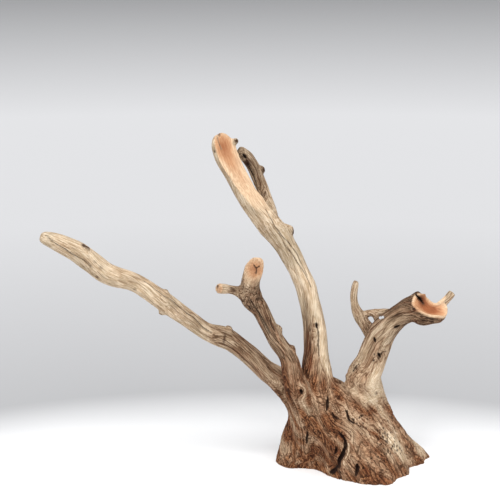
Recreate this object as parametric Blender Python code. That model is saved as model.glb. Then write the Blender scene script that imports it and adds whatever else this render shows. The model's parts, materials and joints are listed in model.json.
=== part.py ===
# A dry root: a weathered root stock with four thick limbs, standing on a sawn foot.
# It grew as one piece, so it is one solid. Routes are in millimetres: +X right, +Y back, +Z up,
# with the origin at the middle of the sawn foot.

import math

import bmesh
import bpy
import numpy as np
from mathutils import Matrix, Vector, noise

MM = 0.001

# Driving sizes, in millimetres.
ROUTE_STEP = 5.0  # spacing of the sections along a limb
VOXEL = 3.0  # fineness at which limbs are fused
FOOT_DEPTH = 45.0  # how far limbs run on below the saw cut before it is made
SAW_SNAP = 0.5  # points this near the saw cut are put on it
STOCK_TOP = 168.0  # where the stock has given way to limbs
STOCK_FADE = 50.0  # depth over which it does so
STOCK_AXIS = (5.0, 18.0)  # x and y of the line that the stock's ridges stand round

# Relief of the weathered surface.
FLUTES = ((3, 0.045, 0.4), (5, 0.035, 1.7), (8, 0.02, 3.1))  # waves round a limb, height, phase
FLUTE_TWIST = 0.9  # turns of the flutes in a metre of limb
RIDGE_HEIGHT = 3.2  # long ridges down the stock
RIDGES_ROUND = 4.6  # how closely they stand
RIDGE_RUN = 75.0  # length of their waves
SWIRL = 0.35  # how far the ridges wander round the stock, in radians
SWIRL_SIZE = 70.0
LUMP_HEIGHT = 0.9  # knobbly wood everywhere
LUMP_SIZE = 26.0

# Counts.
PROFILE_POINTS = 24  # round a limb
CREASE_ROUNDS = 5  # smoothing passes that fillet the crotches
STOCK_ROUNDS = 30  # more of them low down, where limbs have grown together
FUSED_TRIANGLES = 10600  # faces kept before the cracks are cut
TIP_LAP = 2  # sections that a cut tip shares with the limb below it

# Each row is x, y, z and the radius of the wood there. Every limb starts in the foot.
LIMBS = {
    "stock": [(14, 14, -12, 84), (4, 12, 45, 73), (-16, 10, 92, 60), (-34, 8, 128, 42)],
    "left_limb": [
        (-97, 26, -12, 39.5), (-91, 24, 39, 33), (-88, 18, 91, 27), (-104, 16, 128, 25),
        (-128, 12, 155, 22), (-154, 8, 177, 18), (-184, 2, 209, 16.5), (-212, -2, 233, 17),
        (-229, -5, 243, 18), (-257, -8, 255, 15), (-294, -14, 283, 15.5), (-325, -18, 308, 16.5),
        (-355, -22, 331, 16), (-381, -26, 347, 16), (-421, -30, 361, 18), (-448, -34, 384, 18),
        (-475, -38, 405, 17), (-504, -41, 420, 14.5), (-522, -42, 427, 11), (-528, -42, 429, 7),
    ],
    "fore_limb": [
        (-60, 26, -12, 40), (-75, 8, 55, 34), (-87, -20, 120, 28), (-105, -34, 174, 20),
        (-115, -40, 216, 15.5), (-135, -46, 248, 14), (-150, -50, 278, 13.5), (-163, -56, 306, 14.5),
        (-179, -62, 330, 18), (-180, -72, 356, 16), (-175, -84, 380, 15.5), (-171, -108, 397, 15.5),
    ],
    "tall_limb": [
        (35, -28, -12, 51), (-4, -22, 45, 47), (-42, -16, 98, 42), (-63, -4, 145, 32),
        (-67, 4, 182, 26), (-67, 10, 213, 21.5), (-69, 16, 252, 20), (-75, 21, 288, 18.5),
        (-84, 26, 323, 18), (-97, 30, 352, 17.5), (-110, 33, 378, 19), (-127, 34, 406, 20),
        (-149, 32, 433, 21), (-172, 22, 463, 19.5), (-191, 13, 494, 18.5), (-206, 7, 528, 19.5),
        (-217, 4, 555, 22.5), (-221, 4, 576, 22.5), (-221, 2, 591, 17), (-222, 2, 599, 9),
    ],
    "right_limb": [
        (101, 32, -12, 37), (70, 24, 40, 32), (42, 14, 87, 29), (25, 10, 128, 30),
        (18, 8, 162, 30), (30, 6, 194, 26), (38, 2, 223, 25), (47, -2, 248, 24),
        (60, -8, 270, 23), (78, -16, 289, 21), (95, -24, 299, 24), (113, -32, 300, 27),
        (131, -38, 297, 24), (146, -42, 295, 15),
    ],
    "foot_spur": [(143, 41, -12, 8), (136, 40, -2, 11), (113, 38, 12, 17), (84, 34, 30, 24)],
    "front_root": [(61, -8, -12, 44), (37, -14, 45, 44), (4, -16, 95, 38), (-19, -4, 131, 30)],
    "back_root": [(41, 52, -12, 54), (2, 40, 71, 43), (-29, 26, 124, 32), (-50, 16, 150, 20)],
    "back_left_root": [(-68, 58, -12, 40), (-62, 42, 61, 36), (-54, 22, 120, 28)],
    "tall_fork": [
        (-140, 34, 430, 12), (-148, 48, 458, 11), (-159, 56, 484, 10.5), (-171, 56, 510, 10.5),
        (-179, 50, 530, 12.5), (-188, 40, 548, 11), (-197, 28, 562, 8),
    ],
    "horn": [
        (31, 16, 242, 14), (20, 26, 254, 11), (8, 32, 270, 8.8), (1, 34, 291, 7.4),
        (0, 33, 312, 6.8), (2, 31, 328, 5.6),
    ],
    "bridge_twig": [
        (8, 32, 268, 5.6), (22, 34, 273, 5.6), (41, 32, 276, 5.4), (59, 24, 280, 5.4), (71, 10, 282, 5.6),
    ],
    "bridge_strut": [(39, 32, 274, 4.4), (43, 24, 265, 4.8), (49, 12, 255, 5.6)],
    "rear_twig": [(130, -18, 289, 9), (145, -8, 300, 7.8), (156, 0, 308, 7), (166, 6, 318, 6.8)],
    "fore_stub": [
        (-180, -62, 336, 15), (-201, -72, 344, 8.4), (-214, -79, 348, 7.4), (-225, -85, 351, 8.6),
        (-240, -93, 354, 8.4),
    ],
}

# Snapped twigs: the middle of the wood, the tip of the knot, and its two radii.
KNOTS = [
    ((-325, -18, 322), (-321, -19, 334), 9.5, 4.5),
    ((-329, -18, 297), (-333, -19, 286), 9.5, 4.5),
    ((-219, -5, 250), (-217, -5, 262), 10.5, 5.0),
    ((-134, -46, 266), (-125, -46, 272), 10.5, 6.5),
    ((-113, -40, 230), (-104, -40, 233), 10.5, 6.5),
    ((-124, 36, 420), (-106, 37, 421), 15.0, 6.5),
    ((-210, 5, 574), (-200, 6, 584), 8.0, 5.0),
    ((-172, 54, 520), (-156, 56, 525), 11.0, 6.0),
    ((-458, -40, 402), (-447, -42, 408), 9.0, 5.0),
    ((13, 0, 167), (-9, 0, 160), 21.0, 13.0),
]

# Saw and break faces: limb, height where the cut starts, a point on the face, outward normal.
CUTS = [
    ("tall_limb", 430, (-139, 16, 437), (0.456, -0.862, 0.220)),
    ("fore_limb", 340, (-173, -100, 388), (-0.10, -0.96, 0.26)),
    ("fore_stub", 330, (-233, -90, 353), (-0.80, -0.55, 0.22)),
]


# Cracks that run into the wood: x, y, z and half width. They are deeper than they are wide.
CRACKS = [
    [(-36, -60, 98, 1.2), (-27, -62, 87, 2.4), (-19, -63, 76, 3.2), (-18, -65, 65, 3.8), (-22, -65, 52, 4.4),
     (-27, -63, 38, 4.0), (-26, -61, 22, 3.6), (-23, -59, 4, 3.0), (-22, -58, -12, 2.6)],
    [(-48, -37, 145, 1.2), (-48, -43, 135, 2.6), (-50, -48, 125, 1.2)],
    [(-42, -50, 122, 1.2), (-36, -53, 115, 2.2), (-31, -54, 108, 1.2)],
    [(-16, -42, 122, 1.2), (-13, -47, 113, 2.2), (-9, -51, 104, 1.2)],
    [(2, -72, 36, 2.0), (2, -73, 26, 4.6), (1, -74, 14, 2.6)],
    [(-34, -61, 64, 1.4), (-34, -61, 56, 2.4), (-36, -60, 49, 1.2)],
    [(-82, -36, 80, 1.2), (-82, -32, 68, 2.2), (-82, -27, 56, 1.2)],
    [(-70, 2, 274, 1.2), (-66, -1, 264, 3.0), (-65, -2, 248, 1.0)],
    [(30, -21, 248, 1.4), (32, -21, 243, 3.0), (33, -21, 238, 1.4)],
    [(37, -21, 220, 1.6), (40, -21, 215, 3.4), (42, -21, 210, 1.6)],
    [(64, -30, 267, 1.4), (68, -30, 269, 2.4), (72, -31, 271, 1.2)],
]
CRACK_STRETCH = 2.6  # depth of a crack for its half width

# The end of the right limb is scooped out along these round-bottomed grooves.
GOUGES = [
    [(84, -50, 334, 13), (102, -50, 326, 18), (120, -48, 318, 20), (138, -46, 312, 18), (162, -44, 309, 16)],
    [(110, -46, 322, 16), (122, -28, 319, 17), (129, -6, 322, 16)],
]


def clear_scene():
    for obj in list(bpy.data.objects):
        bpy.data.objects.remove(obj, do_unlink=True)


def dry_wood():
    wood = bpy.data.materials.new("dry_wood")
    wood.use_nodes = True
    shader = wood.node_tree.nodes["Principled BSDF"]
    shader.inputs["Base Color"].default_value = (0.33, 0.20, 0.11, 1.0)
    shader.inputs["Roughness"].default_value = 0.8
    shader.inputs["Metallic"].default_value = 0.0
    return wood


def smooth_route(points):
    """A Catmull-Rom line through a limb's points: rows of x, y, z and radius, in metres."""
    rows = np.array(points, float) * MM
    if rows[0, 2] < 0:
        rows = np.vstack([rows[0] - np.array([0, 0, FOOT_DEPTH, 0]) * MM, rows])
    padded = np.vstack([2 * rows[0] - rows[1], rows, 2 * rows[-1] - rows[-2]])
    route = []
    for before, start, end, after in zip(padded, padded[1:], padded[2:], padded[3:]):
        length = np.linalg.norm(end[:3] - start[:3])
        steps = max(2, round(length / (ROUTE_STEP * MM)))
        for t in np.arange(steps) / steps:
            route.append(
                0.5
                * (
                    2 * start
                    + (end - before) * t
                    + (2 * before - 5 * start + 4 * end - after) * t**2
                    + (3 * start - before - 3 * end + after) * t**3
                )
            )
    route.append(rows[-1])
    return np.array(route)


def evaluated_mesh(obj):
    graph = bpy.context.evaluated_depsgraph_get()
    return bpy.data.meshes.new_from_object(obj.evaluated_get(graph))


def fluted_profile():
    """The outline of a limb of unit radius, with its shallow flutes."""
    curve = bpy.data.curves.new("flutes", "CURVE")
    spline = curve.splines.new("POLY")
    spline.points.add(PROFILE_POINTS - 1)
    spline.use_cyclic_u = True
    for number, point in enumerate(spline.points):
        turn = 2 * math.pi * number / PROFILE_POINTS
        radius = 1 + sum(height * math.cos(waves * turn + phase) for waves, height, phase in FLUTES)
        point.co = (radius * math.cos(turn), radius * math.sin(turn), 0, 1)
    profile = bpy.data.objects.new("flutes", curve)
    profile.hide_render = True
    profile.display_type = "WIRE"
    bpy.context.scene.collection.objects.link(profile)
    return profile


def tube(name, route, profile=None):
    """A closed tube whose radius follows the route: round, or with the given outline."""
    curve = bpy.data.curves.new(name, "CURVE")
    curve.dimensions = "3D"
    curve.use_fill_caps = True
    if profile:
        curve.bevel_mode = "OBJECT"
        curve.bevel_object = profile
    else:
        curve.bevel_depth = 1.0
        curve.bevel_resolution = 3
    spline = curve.splines.new("POLY")
    spline.points.add(len(route) - 1)
    for number, (point, (x, y, z, radius)) in enumerate(zip(spline.points, route)):
        point.co = (x, y, z, 1.0)
        point.radius = radius
        point.tilt = 2 * math.pi * FLUTE_TWIST * number * ROUTE_STEP * MM
    guide = bpy.data.objects.new(name, curve)
    bpy.context.scene.collection.objects.link(guide)
    mesh = evaluated_mesh(guide)
    bpy.data.objects.remove(guide)
    return mesh


def cut_off(mesh, point, normal):
    """Removes the wood beyond a plane and closes the face that is left."""
    form = bmesh.new()
    form.from_mesh(mesh)
    bmesh.ops.remove_doubles(form, verts=form.verts, dist=1e-6)
    bmesh.ops.bisect_plane(
        form,
        geom=form.verts[:] + form.edges[:] + form.faces[:],
        plane_co=Vector(point) * MM,
        plane_no=Vector(normal).normalized(),
        clear_outer=True,
    )
    open_edges = [edge for edge in form.edges if edge.is_boundary]
    bmesh.ops.holes_fill(form, edges=open_edges, sides=0)
    form.to_mesh(mesh)
    form.free()


def joined(name, meshes):
    """One object that holds every mesh, not yet fused."""
    form = bmesh.new()
    for mesh in meshes:
        form.from_mesh(mesh)
    whole = bpy.data.meshes.new(name)
    form.to_mesh(whole)
    form.free()
    obj = bpy.data.objects.new(name, whole)
    bpy.context.scene.collection.objects.link(obj)
    return obj


def apply_modifiers(obj):
    mesh = evaluated_mesh(obj)
    obj.modifiers.clear()
    obj.data = mesh


def stock_share(z):
    """1 in the root stock, 0 where it has given way to limbs."""
    share = min(1.0, max(0.0, (STOCK_TOP * MM - z) / (STOCK_FADE * MM)))
    return share * share * (3 - 2 * share)


def fuse(obj):
    """Makes one skin of the overlapping limbs and fillets the crotches."""
    skin = obj.modifiers.new("fuse", "REMESH")
    skin.mode = "VOXEL"
    skin.voxel_size = VOXEL * MM
    fillet = obj.modifiers.new("fillet", "SMOOTH")
    fillet.factor = 0.5
    fillet.iterations = CREASE_ROUNDS
    apply_modifiers(obj)
    stock = obj.vertex_groups.new(name="stock")
    for vert in obj.data.vertices:
        stock.add([vert.index], stock_share(vert.co.z), "REPLACE")
    merge = obj.modifiers.new("merge", "SMOOTH")
    merge.factor = 0.5
    merge.iterations = STOCK_ROUNDS
    merge.vertex_group = stock.name
    apply_modifiers(obj)
    obj.vertex_groups.clear()


def weather(obj):
    """Raises the ridges that run down the stock and the knobbly wood of the limbs."""
    axis_x, axis_y = STOCK_AXIS
    outward = [vert.normal.copy() for vert in obj.data.vertices]
    for vert, normal in zip(obj.data.vertices, outward):
        place = vert.co
        turn = math.atan2(place.y - axis_y * MM, place.x - axis_x * MM)
        turn += SWIRL * noise.noise(place / (SWIRL_SIZE * MM))
        around = Vector((math.cos(turn), math.sin(turn), 0)) * RIDGES_ROUND
        ridge = noise.noise(around + Vector((0, 0, place.z / (RIDGE_RUN * MM))))
        lump = noise.noise(place / (LUMP_SIZE * MM))
        height = RIDGE_HEIGHT * ridge * stock_share(place.z) + LUMP_HEIGHT * lump
        vert.co = place + normal * height * MM


def thin_out(obj):
    """Keeps the faces that the form needs."""
    triangles = sum(len(face.vertices) - 2 for face in obj.data.polygons)
    fewer = obj.modifiers.new("thin_out", "DECIMATE")
    fewer.ratio = min(1.0, FUSED_TRIANGLES / triangles)
    fewer.use_collapse_triangulate = True
    apply_modifiers(obj)


def crack_cutter(number, points):
    """A thin lens along a crack, stretched into the wood along Y."""
    crack = np.array(points, float)
    middle = crack[:, 1].mean()
    crack[:, 1] = middle + (crack[:, 1] - middle) / CRACK_STRETCH
    mesh = tube(f"crack_{number}", smooth_route(crack))
    to_middle = Matrix.Translation((0, -middle * MM, 0))
    mesh.transform(to_middle.inverted() @ Matrix.Scale(CRACK_STRETCH, 4, (0, 1, 0)) @ to_middle)
    return mesh


def carve(obj):
    """Takes the cracks and the gouges out of the wood."""
    meshes = [crack_cutter(number, points) for number, points in enumerate(CRACKS)]
    meshes += [tube(f"gouge_{number}", smooth_route(points)) for number, points in enumerate(GOUGES)]
    cutters = bpy.data.collections.new("cutters")
    for mesh in meshes:
        cutters.objects.link(bpy.data.objects.new(mesh.name, mesh))
    cut = obj.modifiers.new("carve", "BOOLEAN")
    cut.operation = "DIFFERENCE"
    cut.solver = "EXACT"
    cut.operand_type = "COLLECTION"
    cut.collection = cutters
    apply_modifiers(obj)
    for cutter in list(cutters.objects):
        bpy.data.objects.remove(cutter)
    bpy.data.collections.remove(cutters)


def saw_foot(obj):
    """The flat face that the root stands on, at z = 0."""
    form = bmesh.new()
    form.from_mesh(obj.data)
    for vert in form.verts:
        if abs(vert.co.z) < SAW_SNAP * MM:
            vert.co.z = 0
    bmesh.ops.bisect_plane(
        form,
        geom=form.verts[:] + form.edges[:] + form.faces[:],
        dist=1e-7,
        plane_co=(0, 0, 0),
        plane_no=(0, 0, 1),
        clear_inner=True,
    )
    open_edges = [edge for edge in form.edges if edge.is_boundary]
    bmesh.ops.holes_fill(form, edges=open_edges, sides=0)
    bmesh.ops.triangulate(form, faces=[face for face in form.faces if len(face.verts) > 3])
    form.to_mesh(obj.data)
    form.free()


def main():
    clear_scene()
    profile = fluted_profile()
    routes = {name: smooth_route(points) for name, points in LIMBS.items()}
    meshes = []
    for limb, height, point, normal in CUTS:
        start = next(i for i, row in enumerate(routes[limb]) if row[2] > height * MM)
        tip = tube(limb + "_tip", routes[limb][max(0, start - TIP_LAP):], profile)
        cut_off(tip, point, normal)
        meshes.append(tip)
        routes[limb] = routes[limb][: start + 1]
    for name, route in routes.items():
        if len(route) > TIP_LAP:
            meshes.append(tube(name, route, profile))
    for middle, tip, wide, narrow in KNOTS:
        meshes.append(tube("knot", smooth_route([(*middle, wide), (*tip, narrow)])))
    root = joined("dry_root", meshes)
    bpy.data.objects.remove(profile)
    fuse(root)
    weather(root)
    thin_out(root)
    carve(root)
    saw_foot(root)
    root.data.materials.clear()
    root.data.materials.append(dry_wood())
    root.data.shade_smooth()


main()
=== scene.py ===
# A dry root: its weathered surface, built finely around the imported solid.
import itertools
import json
import math
import random

import bmesh
import bpy
import numpy as np
from mathutils import Matrix, Vector, noise
from mathutils.bvhtree import BVHTree
from mathutils.kdtree import KDTree

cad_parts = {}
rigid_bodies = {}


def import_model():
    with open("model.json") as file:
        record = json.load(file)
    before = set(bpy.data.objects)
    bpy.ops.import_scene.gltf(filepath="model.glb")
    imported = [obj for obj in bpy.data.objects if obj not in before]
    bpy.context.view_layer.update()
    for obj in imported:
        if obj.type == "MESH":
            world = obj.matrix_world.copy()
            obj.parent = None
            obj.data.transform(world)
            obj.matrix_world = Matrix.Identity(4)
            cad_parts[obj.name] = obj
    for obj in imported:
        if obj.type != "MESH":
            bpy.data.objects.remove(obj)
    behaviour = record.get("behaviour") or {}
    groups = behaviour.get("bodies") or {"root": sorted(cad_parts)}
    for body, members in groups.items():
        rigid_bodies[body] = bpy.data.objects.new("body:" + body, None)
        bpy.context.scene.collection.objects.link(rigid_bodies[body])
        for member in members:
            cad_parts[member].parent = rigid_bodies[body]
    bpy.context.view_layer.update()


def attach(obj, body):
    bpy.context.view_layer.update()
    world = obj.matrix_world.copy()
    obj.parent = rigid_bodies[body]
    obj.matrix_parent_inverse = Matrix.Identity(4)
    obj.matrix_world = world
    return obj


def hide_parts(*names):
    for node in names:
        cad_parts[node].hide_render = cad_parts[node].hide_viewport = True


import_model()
print("frame loaded")

mm = 0.001

# The root's form, in millimetres: +X right, +Y back, +Z up, from the middle of the sawn foot.
rootForm = {
    "routeStep": 5.0,
    "voxel": 2.3,
    "creaseRounds": 8,
    "stockRounds": 50,
    "footDepth": 45.0,
    "sawSnap": 0.5,
    "stockTop": 168.0,
    "stockFade": 50.0,
    "stockAxis": (5.0, 18.0),
    "flutes": ((3, 0.045, 0.4), (5, 0.035, 1.7), (8, 0.02, 3.1)),
    "fluteTwist": 0.9,
    "profilePoints": 24,
    "ridgeHeight": 3.2,
    "ridgesRound": 4.6,
    "ridgeRun": 75.0,
    "swirl": 0.35,
    "swirlSize": 70.0,
    "lumpHeight": 0.9,
    "lumpSize": 26.0,
    "tipLap": 2,
}

# x, y, z and radius of the wood along each limb, from the foot outwards.
limbs = {
    "stock": [(14, 14, -12, 84), (4, 12, 45, 73), (-16, 10, 92, 60), (-34, 8, 128, 42)],
    "left_limb": [
        (-97, 26, -12, 39.5), (-92, 24, 39, 34.5), (-88, 18, 91, 27), (-104, 16, 128, 25),
        (-128, 12, 155, 22), (-154, 8, 177, 18), (-184, 2, 209, 16.5), (-212, -2, 233, 17),
        (-229, -5, 243, 18), (-257, -8, 255, 15), (-294, -14, 283, 15.5), (-325, -18, 308, 16.5),
        (-355, -22, 331, 16), (-381, -26, 347, 16), (-421, -30, 361, 18), (-448, -34, 384, 18),
        (-475, -38, 405, 17), (-504, -41, 420, 14.5), (-522, -42, 427, 11), (-528, -42, 429, 7),
    ],
    "fore_limb": [
        (-60, 26, -12, 40), (-75, 8, 55, 34), (-87, -20, 120, 28), (-105, -34, 174, 20),
        (-115, -40, 216, 15.5), (-135, -46, 248, 14), (-150, -50, 278, 13.5), (-163, -56, 306, 14.5),
        (-179, -62, 330, 18), (-180, -72, 356, 16), (-175, -84, 380, 15.5), (-171, -108, 397, 15.5),
    ],
    "tall_limb": [
        (35, -28, -12, 51), (-4, -22, 45, 47), (-42, -16, 98, 42), (-63, -4, 145, 32),
        (-67, 4, 182, 26), (-67, 10, 213, 21.5), (-69, 16, 252, 20), (-75, 21, 288, 18.5),
        (-84, 26, 323, 18), (-97, 30, 352, 17.5), (-110, 33, 378, 19), (-127, 34, 406, 20),
        (-149, 32, 433, 21), (-172, 22, 463, 19.5), (-191, 13, 494, 18.5), (-206, 7, 528, 19.5),
        (-217, 4, 555, 22.5), (-221, 4, 576, 22.5), (-221, 2, 591, 17), (-222, 2, 599, 9),
    ],
    "right_limb": [
        (101, 32, -12, 37), (70, 24, 40, 32), (42, 14, 87, 29), (25, 10, 128, 30),
        (18, 8, 162, 30), (30, 6, 194, 26), (38, 2, 223, 25), (47, -2, 248, 24),
        (61, -8, 268, 21.5), (79, -16, 286, 19.5), (96, -24, 298, 23), (113, -32, 300, 27),
        (131, -38, 299, 22), (144, -41, 297, 17), (149, -43, 296, 8),
    ],
    "foot_spur": [(143, 41, -12, 8), (136, 40, -2, 11), (113, 38, 12, 17), (84, 34, 30, 24)],
    "front_root": [(61, -8, -12, 44), (37, -14, 45, 44), (4, -16, 95, 38), (-19, -4, 131, 30)],
    "back_root": [(41, 52, -12, 54), (2, 40, 71, 43), (-31, 24, 121, 30), (-50, 16, 148, 20)],
    "back_left_root": [(-68, 58, -12, 40), (-62, 42, 61, 36), (-54, 22, 120, 28)],
    "tall_fork": [(-140, 34, 430, 12), (-147, 48, 458, 11), (-157, 56, 484, 10.5), (-168, 56, 510, 10.5),
        (-176, 50, 530, 11), (-187, 40, 548, 11), (-197, 28, 562, 8)],
    "horn": [(31, 16, 242, 14), (20, 26, 254, 11), (9, 32, 270, 10), (1, 34, 291, 7.4),
        (0, 33, 312, 6.8), (2, 31, 328, 5.9), (3, 31, 333, 3.4)],
    "bridge_twig": [
        (8, 32, 267, 5.8), (22, 34, 272, 6.2), (41, 32, 275, 6.2), (59, 24, 278, 6.0), (71, 10, 280, 5.8),
    ],
    "bridge_strut": [(36, 32, 274, 4.8), (39, 25, 265, 5.0), (46, 13, 255, 6)],
    "rear_twig": [(130, -18, 289, 9), (145, -8, 300, 7.8), (156, 0, 308, 7), (166, 6, 318, 6.8)],
    "fore_stub": [(-182, -63, 333, 16), (-201, -72, 343, 9.2), (-214, -79, 348, 7.4), (-225, -85, 351, 8.6),
        (-240, -93, 354, 8.4)],
}

# Snapped twigs: the middle of the wood, the tip of the knot, and its two radii.
knots = [
    ((-325, -18, 320), (-322, -19, 331), 9.0, 4.0), ((-329, -18, 297), (-333, -19, 286), 9.5, 4.5),
    ((-219, -5, 250), (-217, -5, 262), 10.5, 5.0), ((-134, -46, 269), (-129, -46, 274), 10.5, 6.0),
    ((-113, -40, 230), (-104, -40, 233), 10.5, 6.5), ((-124, 36, 420), (-106, 37, 421), 15.0, 6.5),
    ((-214, 23, 571), (-201, 26, 580), 8.0, 4.8), ((-172, 54, 520), (-156, 56, 525), 11.0, 6.0),
    ((-458, -40, 402), (-447, -42, 408), 9.0, 5.0), ((13, 0, 167), (-14, 0, 161), 22.0, 10.5),
    ((92, -25, 304), (109, -27, 323.5), 16.0, 11.0), ((-40, -5, 138), (8, -5, 144), 18.0, 17.0),
]

# Saw and break faces: limb, height where the cut starts, a point on the face and its outward normal. Then how
# its fresh wood shows: from and to which height, its lap over the rim and how fresh it looks.
cuts = [
    ("tall_limb", 430, (-139.5, 17, 443.4), (0.603, -0.724, 0.335), (440, 490, 0.7, 1.0)),
    ("fore_limb", 335, (-175, -93, 380), (-0.16, -0.96, -0.225), (350, 378, 3.0, 0.9)),
    ("fore_stub", 330, (-233, -90, 353), (-0.80, -0.55, 0.22), (330, 335, 2.0, 0.55)),
]

# Open cracks: x, y, z and half width.
cracks = [
    [(-36, -60, 98, 0.8), (-27, -62, 87, 1.3), (-19, -63, 76, 1.7), (-18, -65, 65, 2.4),
     (-22, -65, 52, 3.6), (-27, -63, 39, 3.0), (-28, -61, 24, 1.4), (-25, -59, 8, 1.2), (-22, -58, -12, 1.6)],
    [(-50, -48, 3, 1.5), (-41, -51, 7, 3.6), (-34, -54, 15, 3.4), (-30, -57, 25, 1.4)],
    [(-236, -2, 588, 0.6), (-232, 0, 594, 1.6), (-228, 2, 599, 0.8)],
    [(-48, -37, 145, 0.8), (-48, -43, 135, 2.0), (-50, -48, 125, 0.8)],
    [(-41, -50, 121, 0.7), (-37, -52, 115, 1.3), (-30, -54, 109, 0.7)],
    [(-15, -43, 122, 0.8), (-14, -46, 114, 1.5), (-11, -49, 107, 1.4), (-3, -53, 103, 0.7)],
    [(2, -72, 36, 1.2), (2, -73, 26, 3.8), (1, -74, 14, 1.6)],
    [(-34, -61, 64, 0.8), (-34, -61, 56, 2.0), (-36, -60, 49, 0.8)],
    [(-82, -36, 80, 0.8), (-82, -32, 68, 1.5), (-82, -27, 56, 0.8)],
    [(-68, 0, 266, 0.7), (-67, -1, 262, 1.1), (-66, -2, 258, 0.7)],
    [(31, -21, 246, 0.8), (32, -21, 242, 1.5), (33, -21, 239, 0.8)],
    [(38, -21, 219, 1.0), (40, -21, 215, 2.3), (42, -21, 211, 1.0)],
    [(64, -30, 267, 0.8), (68, -30, 269, 1.7), (72, -31, 271, 0.8)],
    [(-97, -50, 165, 0.8), (-94, -51, 160, 2.0), (-93, -50, 155, 0.8)],
    [(-192, 26, 555, 0.8), (-190, 27, 551, 1.7), (-188, 28, 548, 0.8)],
    [(98, -34, 327, 0.7), (104, -32, 319, 1.7), (111, -30, 310, 0.7)],
]
# Cracks are cut deeper than they are wide, and wander and swell at so many waves to the metre.
crackForm = {"stretch": 2.6, "wander": 1.4, "wanderScale": 130, "swell": 0.6, "swellScale": 170}

# Gaps that can be looked through, beside the strut of the thin bridge.
gaps = [[(39.6, -30, 284.2, 2.6), (48.8, 50, 259.3, 2.6)], [(43.6, -30, 285.3, 2.4), (53, 50, 260.4, 2.4)]]

# Round-bottomed grooves: two scoop out the end of the right limb, one opens the tall limb's fork.
gouges = [
    [(88, -52, 334, 12), (104, -51, 326, 17), (120, -49, 317, 20), (138, -47, 311, 18), (162, -45, 308, 16)],
    [(118, -46, 321, 15), (130, -28, 319, 16), (137, -6, 321, 15)],
    [(-192, 8, 557, 3), (-186, 8, 543, 8), (-183, 8, 526, 8), (-173, 8, 508, 7), (-164, 9, 493, 3)],
]

# The way the grain runs down through the stock, where the limbs have grown into one.
stockFlow = [(16, 18, -12, 112), (6, 15, 40, 98), (-14, 11, 90, 78), (-34, 8, 130, 62), (-52, 6, 175, 52)]

# How dark each limb has weathered at its foot and its tip, and between which shares of it that changes.
limbTones = {
    "stock": (0.95, 0.85, 0.2, 0.9),
    "left_limb": (0.85, 0.12, 0.08, 0.84),
    "fore_limb": (0.95, 0.85, 0.3, 0.9),
    "tall_limb": (0.95, 0.12, 0.3, 0.55),
    "right_limb": (0.6, 0.95, 0.55, 0.78),
    "tall_fork": (0.35, 0.6, 0.1, 0.5),
    "horn": (0.65, 0.42, 0.1, 0.5),
    "bridge_twig": (0.6, 0.6, 0.2, 0.8),
    "bridge_strut": (0.7, 0.7, 0.2, 0.8),
    "rear_twig": (0.3, 0.35, 0.2, 0.8),
    "fore_stub": (0.7, 0.3, 0.3, 0.7),
}

# Patches that are browner or paler than their limb: place, reach across and up, change of tone.
# The dark patch on the tall limb's left side and the pale ones on its right edge are partly its own tone,
# partly painted shade and painted light.
patches = [
    ((-90, 0, 225), 13, 75, 0.8), ((-52, -2, 225), 14, 80, -0.5), ((56, -46, 62), 15, 22, -0.42),
    ((80, -32, 50), 36, 52, -0.5), ((-237, -18, 250), 13, 12, 0.3), ((47, -24, 236), 14, 20, -0.4),
    ((88, -20, 55), 18, 24, -0.25), ((0, -70, 45), 18, 18, -0.2), ((34, -18, 160), 17, 38, -0.5),
    ((-378, -36, 352), 24, 12, 0.3), ((-170, -8, 214), 20, 20, -0.2), ((48, 0, 165), 18, 42, -0.45),
    ((31, -27, 119), 12, 9, 0.6), ((120, 24, 24), 20, 16, -0.75), ((-45, -4, 185), 12, 34, -0.4),
    ((-177, -80, 332), 20, 13, 0.3), ((-212, -82, 348), 9, 12, 0.4), ((-200, -20, 235), 34, 26, 0.25),
    ((112, -40, 282), 28, 12, 0.1), ((66, -28, 262), 15, 16, -0.25), ((60, -24, 235), 13, 22, -0.4),
    ((-190, 30, 556), 9, 9, -0.45), ((-70, 10, 320), 12, 30, -0.2),
]

# Dark reddish stains round knots and breaks: place, reach and strength.
stains = [
    ((-455, -39, 413), 5.5, 1.5), ((-449, -43, 409), 4.5, 0.8), ((-447, -50, 398), 4, 0.45),
    ((-437, -49, 388), 5, 0.5), ((-428, -48, 377), 5, 0.5), ((-435, -45, 360), 4, 0.9),
    ((-374, -40, 337), 4, 0.6), ((-223, -20, 252), 2.8, 0.8), ((-224, -22, 247), 2.8, 0.9),
    ((-225, -22, 242), 2.8, 0.9), ((-226, -21, 237), 2.8, 0.8), ((-232, 7, 592), 4, 1.0),
    ((-240, -3, 564), 3, 0.9), ((-203, 20, 579), 4.5, 1.2), ((-186, 36, 534), 9, 0.8),
    ((-155, 50, 525), 6, 1.2), ((-104, 33, 418), 6.5, 1.2), ((-186, 32, 541), 6, 0.8),
    ((-190, 27, 552), 6, 0.6), ((-19, 16, 155), 7, 0.8), ((-8, -4, 160), 6, 0.6), ((110, -34, 313), 9, 0.6),
    ((-156, 46, 482), 6, 0.6), ((-321, -18, 333), 4, 0.9), ((-333, -19, 288), 4, 0.9),
    ((-217, -5, 262), 5, 0.7), ((-66, -1, 262), 5, 0.9), ((4, -8, 186), 7, 0.6), ((2, 4, 193), 5, 0.5),
    # The broad weak stain at the right limb's end is painted shade on the scoop's floor.
    ((38, -13, 142), 4, 0.8), ((102, -28, 322), 8, 0.9), ((128, -36, 300), 13, 0.25),
    ((-234, -88, 356), 3.2, 1.1), ((-212, -84, 351), 4, 0.7), ((-207, -82, 346), 4, 0.8),
    ((-94, -52, 160), 5, 0.8), ((-130, -12, 150), 12, 0.35), ((68, -30, 269), 5, 0.5),
]

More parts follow.
